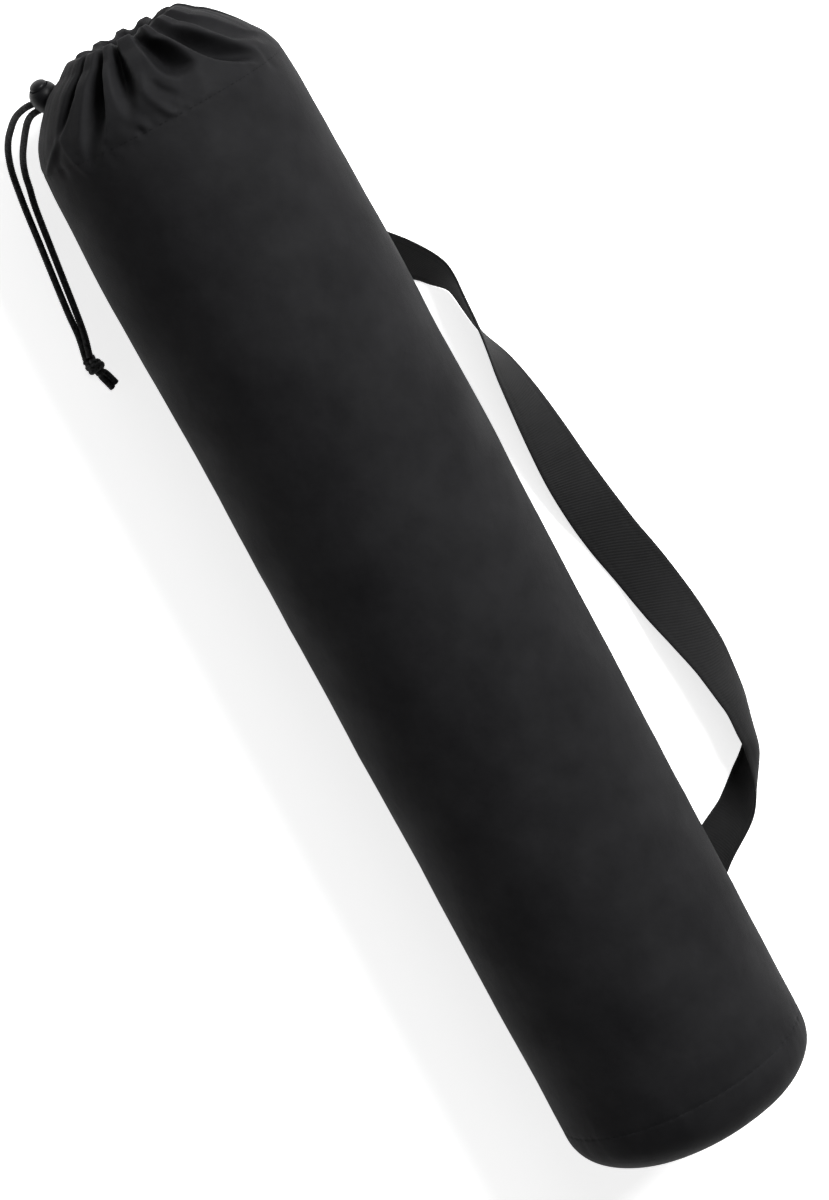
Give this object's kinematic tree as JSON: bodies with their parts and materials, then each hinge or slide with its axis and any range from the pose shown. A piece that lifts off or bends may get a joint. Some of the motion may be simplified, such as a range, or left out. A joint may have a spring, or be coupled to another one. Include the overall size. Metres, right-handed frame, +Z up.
{
  "type": "drawstring storage bag",
  "caption": "Round cloth storage bag lying on its side, gathered by a drawstring with a cord lock, with a domed base and a flat webbing shoulder strap.",
  "frame": {"origin": "under the middle of the bag and its strap together, on the surface that the bag lies on; the cord ends are not counted", "axes": "+X along the bag from its gathered mouth to its domed base, +Y towards the shoulder strap, +Z up"},
  "size_m": [0.7109, 0.2519, 0.1506],
  "materials": {
    "shell_cloth": "black woven nylon with a soft sheen",
    "strap_webbing": "black flat webbing",
    "braided_cord": "black round braid",
    "lock_plastic": "black moulded plastic, glossy"
  },
  "bodies": {
    "bag": {"bag_body": "shell_cloth", "base_panel": "shell_cloth", "shoulder_strap": "strap_webbing", "drawstring_loop": "braided_cord", "cord_lock": "lock_plastic", "cord_tail_outer": "braided_cord", "cord_tail_inner": "braided_cord", "end_knot": "braided_cord"},
    "button": {"lock_button": "lock_plastic"}
  },
  "joints": [
    {"name": "button_press", "type": "slide", "parent": "bag", "child": "button", "axis": [0.9397, 0.0769, -0.3333], "range_m": [0, 0.003], "stiffness_N_per_m": 800, "springref_m": -0.003}
  ]
}
